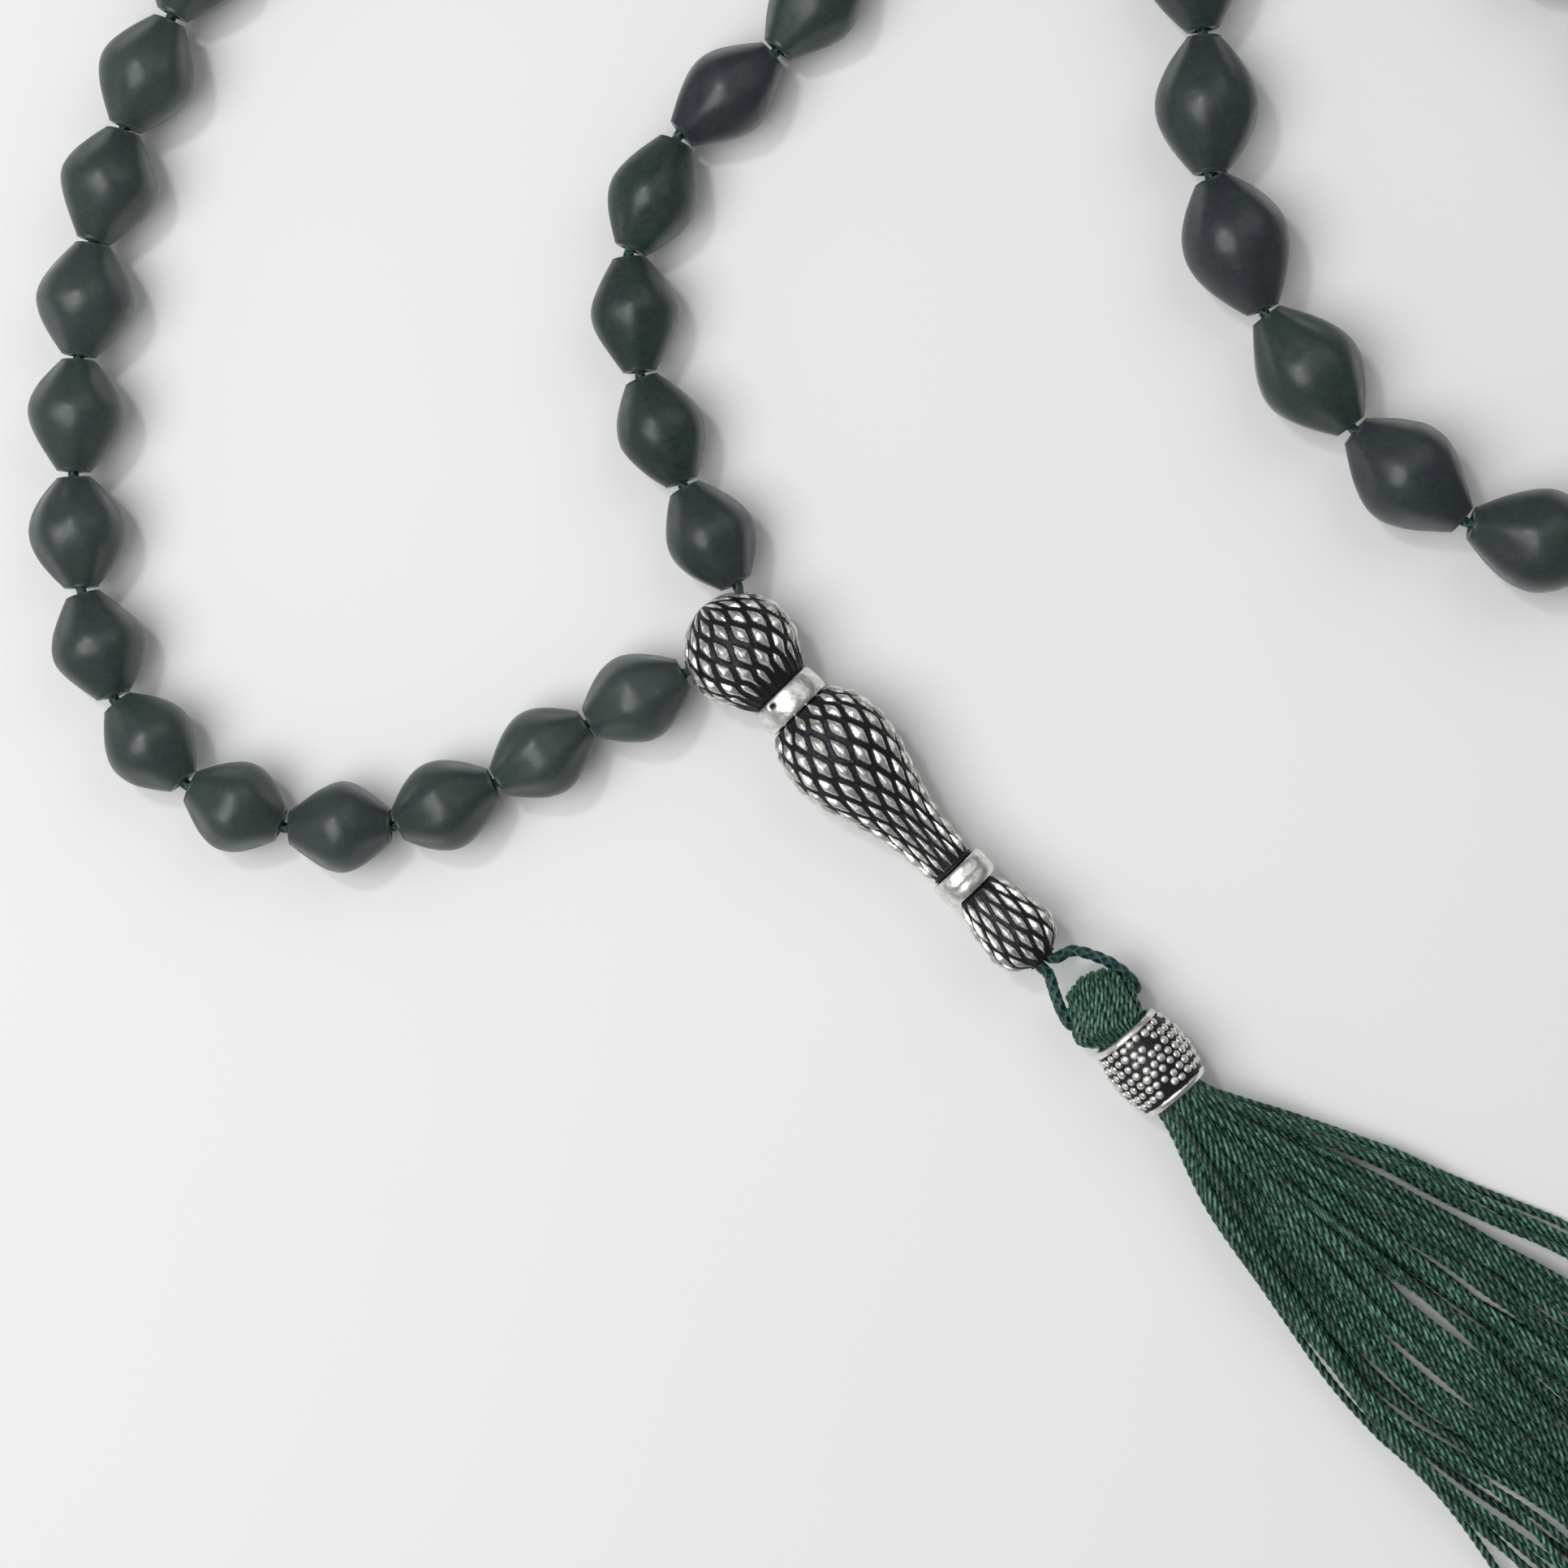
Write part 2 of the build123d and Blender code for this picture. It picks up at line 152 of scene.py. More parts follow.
# ---------------------------------------------------------------- hanger, tassel and sleeve
# Bends of the two legs as (along the neck, across it) from the middle of the fold.
UPPER_LEG = ((-5.2, 0.3), (-3.45, 1.9), (-2.1, 2.65), (-0.8, 3.05), (0.1, 3.05))
LOWER_LEG = ((-4.6, -2.4), (-3.16, -2.75), (-1.5, -3.07), (-0.2, -3.05))
LEG_OFFSET = 0.55
HANGER_RADIUS = 0.49
THREAD_RADIUS = 0.36
SKEIN_THREAD_RADIUS = 0.3
# The skein's layers of threads: height over the fold's middle, half width.
SKEIN_LAYERS = ((2.12, 1.75), (1.5, 2.2), (0.86, 2.28))
SKEIN_SPACING = 0.4
SKEIN_BULGE = 1.16
SLEEVE_START = np.array([30.9, -30.8, 3.65])
SLEEVE_LENGTH = 6.8
SLEEVE_RIM_RADIUS = 2.85
SLEEVE_BELLY_RADIUS = 3.65
SLEEVE_BORE = 2.4
GRAIN_RADIUS = 0.365
GRAIN_PITCH = 0.89
GRAIN_ROW_PITCH = 0.76
GRAIN_SIDES = 14
GRAIN_FLATNESS = 0.6
GRAINS_MISSING = 0.03
SLEEVE_SIDES = 144
SLEEVE_RIM = 0.55
SKIRT_ANGLE = -39.5
SKIRT_THREADS = 66
STRAY_THREADS = 8
APART_THREADS = 6
SKIRT_BUNCHES = 6
SKIRT_LENGTH = 84.0
SKIRT_BOW = 0.9
SKIRT_GATHER = 0.36
BUNDLE_RADIUS = 1.9
# The fan of threads: distance from its pivot, half width, half height, middle's height.
SKIRT_SECTIONS = np.array([
    (-3.0, 1.9, 1.9, 3.65), (0.0, 2.0, 1.9, 3.6), (6.0, 4.3, 1.9, 2.9), (16.0, 7.7, 1.5, 1.95),
    (30.0, 11.6, 1.2, 1.5), (46.0, 14.4, 1.0, 1.35), (64.0, 15.9, 0.85, 1.2), (84.0, 16.2, 0.8, 1.15),
])

# ---------------------------------------------------------------- stage
FLOOR_HALF_WIDTH = 4.0
FLOOR_LEVEL = -0.00003
# Strength of the world's light away from its bright side and on it.
WORLD_LIGHT = (2.8, 6.2)
WORLD_BRIGHT_SIDE = (-0.85, -0.2, 0.45)
# Area lights, aimed at the origin: name, place, size, power.
LIGHTS = (
    ("key", (-0.24, -0.08, 0.50), 0.45, 1.75),
    ("spark", (-0.16, 0.14, 0.45), 0.05, 0.32),
    ("fill", (0.30, 0.35, 0.50), 0.6, 0.6),
)
CAMERA_PLACE = (0.0034, -0.0108, 0.304)
CAMERA_LENS = 85
CAMERA_SENSOR = 36


# ---------------------------------------------------------------- numbers and curves
def unit(vector):
    return vector / np.linalg.norm(vector)


def in_plan(angle):
    return np.array([math.cos(math.radians(angle)), math.sin(math.radians(angle)), 0.0])


def joint_place(name):
    return np.array(JOINTS[name]["pos_m"]) / MM


def joint_axis(name):
    return unit(np.array(JOINTS[name]["axis"], float))


def eased(share):
    share = np.clip(share, 0, 1)
    return share * share * (3 - 2 * share)


def noise_at(points, size, seed=0.0):
    """Smooth noise from -1 to 1 at each point, with features of about this size."""
    flat = points.reshape(-1, 3) / size + seed * 7.31
    values = [noise.noise(Vector(point)) for point in flat]
    return np.array(values).reshape(points.shape[:-1])


def smooth_path(corners, step):
    """Evenly spaced points along a smooth curve through the corners."""
    corners = np.asarray(corners, float)
    padded = np.vstack([2 * corners[0] - corners[1], corners, 2 * corners[-1] - corners[-2]])
    t = np.linspace(0, 1, SPAN_POINTS, endpoint=False)[:, None]
    spans = []
    for a, b, c, d in zip(padded, padded[1:], padded[2:], padded[3:]):
        spans.append(b + 0.5 * t * (c - a + t * (2 * a - 5 * b + 4 * c - d + t * (3 * b - a - 3 * c + d))))
    curve = np.vstack([*spans, corners[-1:]])
    distance = np.concatenate([[0], np.cumsum(np.linalg.norm(np.diff(curve, axis=0), axis=1))])
    places = np.linspace(0, distance[-1], max(3, round(distance[-1] / step) + 1))
    return np.stack([np.interp(places, distance, curve[:, axis]) for axis in range(3)], axis=1)


# ---------------------------------------------------------------- mesh parts
def ring_angles(sides):
    return np.arange(sides) * 2 * math.pi / sides


def shell(grid, values, loop=False):
    """Part from a grid of rings of points: its last ring meets its first, or both ends are capped."""
    rings, sides = grid.shape[:2]
    ring = np.arange(rings if loop else rings - 1)[:, None]
    after = (ring + 1) % rings
    side = np.arange(sides)[None, :]
    beside = (side + 1) % sides
    corners = (ring * sides + side, ring * sides + beside, after * sides + beside, after * sides + side)
    faces = np.stack(corners, axis=-1).reshape(-1, 4).tolist()
    points = grid.reshape(-1, 3)
    values = {name: value.reshape(rings * sides, -1) for name, value in values.items()}
    if not loop:
        first, last = rings * sides, rings * sides + 1
        for k in range(sides):
            faces.append([first, (k + 1) % sides, k])
            faces.append([last, (rings - 1) * sides + k, (rings - 1) * sides + (k + 1) % sides])
        points = np.vstack([points, grid[0].mean(0), grid[-1].mean(0)])
        values = {
            name: np.vstack([value, value[:sides].mean(0), value[-sides:].mean(0)])
            for name, value in values.items()
        }
    return points, faces, values


def lathe(origin, axis, along, radius, across=None):
    """Grid of points round an axis: one ring per place along it, one column of radius per side."""
    across = unit(np.cross(UP, axis)) if across is None else across
    up = np.cross(axis, across)
    angles = ring_angles(radius.shape[1])
    spokes = np.cos(angles)[:, None] * across + np.sin(angles)[:, None] * up
    return origin + along[:, None, None] * axis + radius[:, :, None] * spokes


def ring_frames(path):
    """Two directions across a path at each of its points, carried along it without twisting."""
    ahead = np.gradient(path, axis=0)
    ahead /= np.linalg.norm(ahead, axis=1)[:, None]
    side = np.cross(UP, ahead[0])
    sides = []
    for direction in ahead:
        side = unit(side - direction * (side @ direction))
        sides.append(side)
    sides = np.array(sides)
    return sides, np.cross(ahead, sides)


def tube(path, radius, angles):
    """Grid of points round a path, from a radius and an angle for each ring and side."""
    side, up = ring_frames(path)
    spokes = np.cos(angles)[:, :, None] * side[:, None, :] + np.sin(angles)[:, :, None] * up[:, None, :]
    return path[:, None, :] + radius[:, :, None] * spokes


def distances(path):
    return np.concatenate([[0], np.cumsum(np.linalg.norm(np.diff(path, axis=0), axis=1))])


def twisted_thread(path, seed, radius=THREAD_RADIUS, pitch=2.6, plies=3):
    """Thread of plies twisted together. Its rows of points follow the plies, four to a ply."""
    sides = plies * 4
    along = distances(path)
    base = ring_angles(sides)[None, :]
    angles = base + (along * 2 * math.pi / pitch + seed)[:, None]
    # Height of the plies: the yarn material paints shade where it is low and highlights where it is high.
    crest = np.abs(np.cos(base * plies / 2)) * np.ones_like(angles)
    grid = tube(path, radius * (0.62 + 0.38 * crest), angles)
    fibre = np.stack([
        np.cos(base) * radius * np.ones_like(angles), np.sin(base) * radius * np.ones_like(angles),
        along[:, None] + seed * 11 + np.zeros_like(angles),
    ], axis=-1)
    # Tint of each thread: the yarn material darkens threads with a low tint towards the painted groove
    # shade.
    tint = np.full(angles.shape, 0.5 + 0.5 * math.sin(seed * 5.3))
    return shell(grid, {"crest": crest, "fibre": fibre, "tint": tint})


def braided_cord(corners, radius=CORD_RADIUS, step=0.11, pitch=1.1):
    """Round braid: bumps where two sets of strands, wound opposite ways, come to the surface."""
    path = smooth_path(corners, step)
    sides = 20
    angles = ring_angles(sides)[None, :] * np.ones((len(path), 1))
    wind = (distances(path) * math.pi / pitch)[:, None]
    # Height of the braid: the yarn material paints shade where it is low and highlights where it is high.
    crest = np.maximum(np.abs(np.sin(2 * angles + wind)), np.abs(np.sin(2 * angles - wind)))
    crest = np.clip((crest - 0.7) / 0.3, 0, 1)
    grid = tube(path, radius * (0.8 + 0.2 * crest), angles)
    fibre = np.stack([np.cos(angles), np.sin(angles), wind * np.ones_like(angles)], axis=-1)
    return shell(grid, {"crest": crest, "fibre": fibre, "tint": np.full(angles.shape, 0.5)})


def mesh_piece(name, parts, material):
    """One object from parts, each its points, its faces and its values at the points."""
    points, faces, start = [], [], 0
    for part_points, part_faces, _ in parts:
        points.append(part_points)
        faces += [[corner + start for corner in face] for face in part_faces]
        start += len(part_points)
    mesh = bpy.data.meshes.new(name)
    mesh.from_pydata(np.vstack(points) * MM, [], faces)
    for key in parts[0][2]:
        values = np.vstack([part_values[key] for _, _, part_values in parts]).astype(np.float32)
        vector = values.shape[1] == 3
        attribute = mesh.attributes.new(key, "FLOAT_VECTOR" if vector else "FLOAT", "POINT")
        attribute.data.foreach_set("vector" if vector else "value", values.ravel())
    mesh.shade_smooth()
    mesh.materials.append(material)
    piece = bpy.data.objects.new(name, mesh)
    bpy.context.scene.collection.objects.link(piece)
    return piece


# ---------------------------------------------------------------- materials
class Graph:
    """A material's node tree, with short ways to add the nodes this script uses."""

    def __init__(self, name):
        self.material = bpy.data.materials.new(name)
        self.material.use_nodes = True
        self.tree = self.material.node_tree
        self.surface = self.tree.nodes["Principled BSDF"]
        here = self.tree.nodes.new("ShaderNodeTexCoord").outputs["Object"]
        self.here = self.node("VectorMath", {0: here, "Scale": 1 / MM}, operation="SCALE").outputs[0]

    def node(self, kind, inputs, **settings):
        made = self.tree.nodes.new("ShaderNode" + kind)
        for key, value in settings.items():
            setattr(made, key, value)
        for key, value in inputs.items():
            self.feed(made.inputs[key], value)
        return made

    def feed(self, socket, value):
        if isinstance(value, bpy.types.NodeSocket):
            self.tree.links.new(value, socket)
        else:
            socket.default_value = value

    def finish(self, **inputs):
        for key, value in inputs.items():
            self.feed(self.surface.inputs[key.replace("_", " ")], value)
        return self.material

    def attribute(self, name, output="Fac"):
        return self.node("Attribute", {}, attribute_name=name).outputs[output]

    def noise(self, size, detail=2.0, roughness=0.5, distortion=0.0, at=None):
        """Noise with features of this size in millimetres."""
        inputs = {
            "Vector": self.here if at is None else at, "Scale": 1 / size, "Detail": detail,
            "Roughness": roughness, "Distortion": distortion,
        }
        return self.node("TexNoise", inputs).outputs[0]

    def specks(self, size, reach):
        """1 in small round specks and 0 elsewhere."""
        spots = self.node("TexVoronoi", {"Vector": self.here, "Scale": 1 / size}).outputs["Distance"]
        return self.remap(spots, reach, reach * 0.4, 0, 1)

    def remap(self, value, low, high, to_low, to_high):
        inputs = {"Value": value, "From Min": low, "From Max": high, "To Min": to_low, "To Max": to_high}
        return self.node("MapRange", inputs).outputs[0]

    def maths(self, operation, a, b):
        return self.node("Math", {0: a, 1: b}, operation=operation).outputs[0]

    def mix(self, share, a, b):
        made = self.node("Mix", {"Factor": share}, data_type="RGBA")
        for socket, colour in zip(made.inputs[6:8], (a, b)):
            self.feed(socket, colour if isinstance(colour, bpy.types.NodeSocket) else (*colour, 1))
        return made.outputs[2]

    def bump(self, height, distance, strength=1.0, normal=None):
        inputs = {"Height": height, "Distance": distance * MM, "Strength": strength}
        if normal is not None:
            inputs["Normal"] = normal
        return self.node("Bump", inputs).outputs[0]


def stone_material():
    """Waxy dark green stone with blue-violet clouds, pale specks, dark specks painted as the shade in fine
    pits, and rubbing marks.
    """
    g = Graph("bead_stone")
    clouds = g.noise(3.4, detail=3.0, distortion=0.6)
    blue = g.maths("ADD", g.attribute("tint"), g.remap(clouds, 0.3, 0.7, -0.35, 0.35))
    veins = g.noise(0.9, detail=5.0, roughness=0.65, distortion=1.2)
    green = g.mix(g.remap(veins, 0.35, 0.65, 0, 1), (0.0115, 0.025, 0.0195), (0.0225, 0.043, 0.035))
    violet = g.mix(g.remap(veins, 0.35, 0.65, 0, 1), (0.0135, 0.018, 0.027), (0.025, 0.0295, 0.041))
    colour = g.mix(g.remap(blue, 0.1, 0.9, 0, 1), green, violet)
    colour = g.mix(g.attribute("haze"), colour, (0.08, 0.105, 0.1))
    colour = g.mix(g.maths("MULTIPLY", g.specks(1.3, 0.055), 0.5), colour, (0.16, 0.2, 0.18))
    # Painted shade: small near-black specks stand for the shade inside fine pits, which the mesh doesn't
    # have.
    colour = g.mix(g.maths("MULTIPLY", g.specks(1.9, 0.05), 0.8), colour, (0.006, 0.009, 0.008))
    rubbed = g.noise(0.35, detail=4.0, roughness=0.7)
    rough = g.remap(g.noise(1.6, detail=3.0), 0.3, 0.7, 0.33, 0.47)
    normal = g.bump(g.noise(1.1, detail=2.0), 0.05, 0.5)
    normal = g.bump(rubbed, 0.012, 0.5, normal)
    return g.finish(
        Base_Color=colour, Roughness=rough, Normal=normal, Sheen_Weight=0.12, Sheen_Roughness=0.45,
        Sheen_Tint=(0.75, 0.9, 0.88, 1), Coat_Weight=0.16, Coat_Roughness=0.26,
    )


def silver_material(name, tarnish):
    """Cast silver: bright where the 'silver' value is 1, blue-black oxide where it is 0."""
    g = Graph(name)
    grain = g.noise(0.16, detail=5.0, roughness=0.7)
    worn = g.maths("ADD", g.attribute("silver"), g.remap(grain, 0.25, 0.75, -tarnish, tarnish))
    bright = g.remap(worn, 0.38, 0.56, 0, 1)
    flecks = g.maths("MULTIPLY", g.remap(g.noise(0.22, detail=4.0, roughness=0.75), 0.66, 0.7, 0, 1), 0.35)
    bright = g.maths("MAXIMUM", bright, g.maths("MULTIPLY", flecks, tarnish * 4))
    polish = g.mix(g.remap(g.noise(0.5, detail=4.0), 0.3, 0.7, 0, 1), (0.97, 0.96, 0.93), (0.66, 0.64, 0.6))
    colour = g.mix(bright, (0.006, 0.006, 0.010), polish)
    rough = g.remap(bright, 0, 1, 0.5, 0.33)
    rough = g.maths("ADD", rough, g.remap(g.noise(0.3, detail=4.0), 0.3, 0.7, -0.05, 0.09))
    normal = g.bump(g.noise(0.5, detail=3.0), 0.05, 0.9)
    normal = g.bump(grain, 0.012, 0.5, normal)
    return g.finish(
        Base_Color=colour, Metallic=g.remap(bright, 0, 1, 0.25, 1.0), Roughness=rough, Normal=normal,
    )


def yarn_material(name, groove_shade, body, crest, sheen):
    """Dyed yarn with painted shade in its grooves and painted highlights on its crests, with streaks along
    its fibres.
    """
    g = Graph(name)
    fibre = g.attribute("fibre", "Vector")
    stretched = g.node("VectorMath", {0: fibre, 1: (1.0, 1.0, 0.16)}, operation="MULTIPLY").outputs[0]
    streaks = g.noise(0.07, detail=3.0, roughness=0.6, at=stretched)
    height = g.attribute("crest")
    # Painted shade: the low parts between the plies take the dark groove colour.
    colour = g.mix(g.remap(height, 0.12, 0.7, 0, 1), groove_shade, body)
    # Painted highlight: light dashes of the crest colour on the high parts of the plies, in patches along
    # the thread.
    patches = g.remap(g.noise(0.7), 0.42, 0.6, 0.1, 1)
    glints = g.maths("MULTIPLY", g.remap(streaks, 0.3, 0.6, 0.5, 1), patches)
    painted_highlight = g.maths("MULTIPLY", g.remap(height, 0.55, 1.0, 0, 1), glints)
    colour = g.mix(painted_highlight, colour, crest)
    # Each thread is darkened towards the painted groove shade by its tint and a broad noise. This is partly
    # random tone and partly painted shade for threads lying deeper.
    shade = g.maths("ADD", g.attribute("tint"), g.remap(g.noise(6.0), 0.3, 0.7, -0.3, 0.3))
    colour = g.mix(g.remap(shade, 0.0, 1.0, 0.6, 0.0), colour, groove_shade)
    rough = g.remap(streaks, 0.3, 0.7, 0.36, 0.55)
    normal = g.bump(streaks, 0.02, 0.6)
    return g.finish(
        Base_Color=colour, Roughness=rough, Normal=normal, Sheen_Weight=0.25, Sheen_Roughness=0.35,
        Sheen_Tint=(*sheen, 1), Specular_IOR_Level=0.5,
    )


STONE = stone_material()
OXIDISED = silver_material("oxidised_silver", tarnish=0.14)
POLISHED = silver_material("polished_silver", tarnish=0.0)
# Yarn colours: painted groove shade, the yarn's own colour, painted crest highlight, then the sheen tint.
CORD = yarn_material(
    "cord", (0.001, 0.012, 0.012), (0.007, 0.056, 0.052), (0.08, 0.26, 0.23), (0.4, 0.9, 0.85)
)
THREAD = yarn_material(
    "thread", (0.001, 0.011, 0.006), (0.011, 0.076, 0.037), (0.24, 0.52, 0.38), (0.45, 1.0, 0.7)
)


# ---------------------------------------------------------------- beads
def bead_places():
    """Centre, axis, half length and radius of each bead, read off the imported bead."""
    beads = {}
    for number in range(1, BEAD_COUNT + 1):
        joint = f"turn_bead_{number:02d}"
        centre, axis = joint_place(joint), joint_axis(joint)
        mesh = frame["nodes"][f"bead_{number:02d}"].data
        offsets = np.array([vertex.co for vertex in mesh.vertices]) / MM - centre
        along = offsets @ axis
        radius = np.linalg.norm(offsets - along[:, None] * axis, axis=1).max()
        beads[number] = (centre, axis, along.max(), radius)
    return beads


def bead_outline(half, widest, softness, lean):
    """Places along and radii of a bead's flanks: nearly straight, and rounded over at the waist."""
    share = np.linspace(-1, 1, BEAD_RINGS)
    share = np.sign(share) * np.abs(share) ** 1.15
    fall = (np.hypot(share, softness) - softness) / (math.hypot(1, softness) - softness)
    radius = END_RADIUS + (widest - END_RADIUS) * (1 - fall)
    along = half * (share + lean * (1 - share ** 2))
    return along, radius


def hand_cut_bead(number, centre, axis, half, widest, draw):
    """Bead with soft facets that don't quite line up on its two halves, and a chamfered bore."""
    along, radius = bead_outline(half, widest, draw.uniform(*SOFTNESS), draw.uniform(*LEAN))
    angles = ring_angles(BEAD_SIDES)[None, :]
    facets = draw.integers(*FACETS)
    turns = draw.uniform(0, 2 * math.pi, 2)
    lower = np.cos(facets * angles + turns[0]) + OVAL * np.cos(2 * angles + turns[1])
    upper = np.cos((facets + 1) * angles + turns[1]) + OVAL * np.cos(2 * angles + turns[0])
    side = eased(along / widest + 0.5)[:, None]
    flank = np.clip((radius - END_RADIUS) / (widest - END_RADIUS), 0, 1)[:, None]
    depth = FACET_DEPTH + FACET_DEPTH * flank * (1 - flank) * 4
    cut = (lower * (1 - side) + upper * side) / (1 + OVAL) - 1
    outside = radius[:, None] * (1 + depth * cut)
    lumps = noise_at(lathe(centre, axis, along, outside), LUMP_SIZE, number)
    outside = outside * (1 - LUMP_DEPTH * np.abs(lumps))

    end = np.array([1.0, 0.55, 0.0])
    end_radius = END_RADIUS - CHAMFER * np.array([0.35, 0.8, 1.6])
    bore = np.linspace(1, -1, 7)
    bore_radius = np.where(np.abs(bore) > 0.99, BORE_RADIUS + BORE_FLARE, BORE_RADIUS)
    ones = np.ones((1, BEAD_SIDES))
    top = half - CHAMFER * 0.5 * end
    along = np.concatenate([along * (1 - CHAMFER / half), top, half * bore, -top[::-1]])
    radii = np.vstack([
        outside, end_radius[:, None] * ones, bore_radius[:, None] * ones, end_radius[::-1, None] * ones,
    ])
    grid = lathe(centre, axis, along, radii)
    tint = STONE_TINTS.get(number, draw.uniform(0, 0.9))
    haze = draw.uniform(*(LIGHT_HAZE if number in LIGHT_BEADS else DARK_HAZE))
    values = {"tint": np.full(grid.shape[:2], tint), "haze": np.full(grid.shape[:2], haze)}
    return shell(grid, values, loop=True)


def make_beads():
    draw = np.random.default_rng(45)
    for number, (centre, axis, half, radius) in BEADS.items():
        part = hand_cut_bead(number, centre, axis, half, radius, draw)
        name = f"bead_{number:02d}"
        piece = mesh_piece(f"stone_{name}", [part], STONE)
        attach(piece, name)
        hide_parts(name)


# ---------------------------------------------------------------- cord of the loop
def cord_points():
    """Middles of the gaps, where the cord bends: each bead's centre lies midway between two of them."""
    points = [joint_place("loop_swing")]
    for number in range(1, BEAD_COUNT + 1):
        points.append(2 * BEADS[number][0] - points[-1])
    return points


def make_loop_cord():
    gaps = cord_points()
    head = np.array([0, 0, HEAD_RADIUS])
    for body, node, first, last in CORD_RUNS:
        corners = [BEADS[first][0], *gaps[first:last], BEADS[last][0]]
        piece = mesh_piece(f"loop_cord_{body}", [braided_cord(corners)], CORD)
        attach(piece, body)
        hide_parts(node)
    for gap, (body_a, body_b) in CORD_HINGES.items():
        before, after = BEADS[gap][0], BEADS[gap + 1][0]
        piece = mesh_piece(f"cord_bend_{gap:02d}", [braided_cord([before, gaps[gap], after])], CORD)
        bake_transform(piece)
    for number, body in ((OPEN_GAP, "far_link"), (OPEN_GAP + 1, "far_loop")):
        corners = [BEADS[number][0], gaps[OPEN_GAP]]
        piece = mesh_piece(f"cord_end_{body}", [braided_cord(corners)], CORD)
        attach(piece, body)
    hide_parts("cord_upper_left")
    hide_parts("cord_far_link")
    for name, gap, bead, body in (
        ("cord_from_left_hole", 0, 1, "lower_left_strand"),
        ("cord_from_top_hole", BEAD_COUNT, BEAD_COUNT, "strand_beside_imame"),
    ):
        outward = unit(gaps[gap] - head)
        inside = head + outward * 2.6
        inside[2] = head[2] + (gaps[gap][2] - head[2]) * 0.5
        piece = mesh_piece(name, [braided_cord([inside, gaps[gap], BEADS[bead][0]])], CORD)
        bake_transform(piece)
    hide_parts("cord_beside_imame")


def make_core_cord():
    """Knot in the head, and the two tails from it down the bore."""
    turn = np.linspace(0, 2 * math.pi, 25)[:-1]
    knot = np.stack([
        np.sin(turn) + 2 * np.sin(2 * turn), np.cos(turn) - 2 * np.cos(2 * turn), -np.sin(3 * turn),
    ], axis=1) * 0.42
    head = np.array([0, 0, HEAD_RADIUS])
    across = np.cross(UP, IMAME_AXIS)
    parts = [braided_cord(np.vstack([knot, knot[:1]]) + head)]
    for side in (-1, 1):
        start = head + across * LEG_OFFSET * side + IMAME_AXIS
        parts.append(braided_cord([start, start + IMAME_AXIS * 33.0]))
    piece = mesh_piece("knot_and_tails", parts, CORD)
    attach(piece, "imame")
    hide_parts("core_cord")


# ---------------------------------------------------------------- imame
def smooth_outline(corners):
    """Places along the axis and radii of a smooth curve through these ones."""
    curve = smooth_path([(place, radius, 0.0) for place, radius in corners], IMAME_STEP)
    return [(place, radius) for place, radius, _ in curve]


def imame_profile():
    """Places along the axis and radii of the casting, from the top of its head to its bore."""
    angles = np.arange(math.radians(177.5), math.radians(57), -IMAME_STEP / HEAD_RADIUS)
    outline = [(HEAD_RADIUS * math.cos(angle), HEAD_RADIUS * math.sin(angle)) for angle in angles]
    outline.append((NECK_PLACE, NECK_RADIUS))
    outline.append((NECK_PLACE + SEAT_STEP, UPPER_SEAT_RADIUS))
    outline.append((UPPER_COLLAR["end"] - 0.05, UPPER_SEAT_RADIUS))
    outline += smooth_outline(VASE_OUTLINE)
    outline.append((VASE_OUTLINE[-1][0] + SEAT_STEP, LOWER_SEAT_RADIUS))
    outline.append((LOWER_COLLAR["end"], LOWER_SEAT_RADIUS))
    outline += smooth_outline(FOOT_OUTLINE)
    outline += BORE_OUTLINE
    return np.array(outline)


def scales(place, angle):
    """Height, from 0 to 1, of the raised scales and of the fine ridges in the grooves between them."""
    raised = np.full(angle.shape, -1.0)
    ridge = np.zeros(angle.shape)
    for band in SCALE_BANDS:
        rows = np.array(band["rows"])
        if not rows[0] - 1.2 < place < band["end"]:
            continue
        row = np.interp(place, rows, np.arange(len(rows)))
        row += min(0, place - rows[0]) / END_ROW_PITCH + max(0, place - rows[-1]) / END_ROW_PITCH
        for near in (math.floor(row), math.floor(row) + 1):
            if not 0 <= near < len(rows):
                continue
            column = (angle - band["turn"]) * band["round"] / 360 + near % 2 / 2
            u = np.abs(column - np.round(column))
            v = abs(row - near)
            raised = np.maximum(raised, 1 - u / SCALE_HALF_WIDTH - (v / SCALE_HALF_LENGTH) ** SCALE_TAPER)
            ridge = np.maximum(ridge, 1 - np.abs(u / 0.5 + v - 1) / RIDGE_WIDTH)
    return raised, np.clip(ridge, 0, 1)


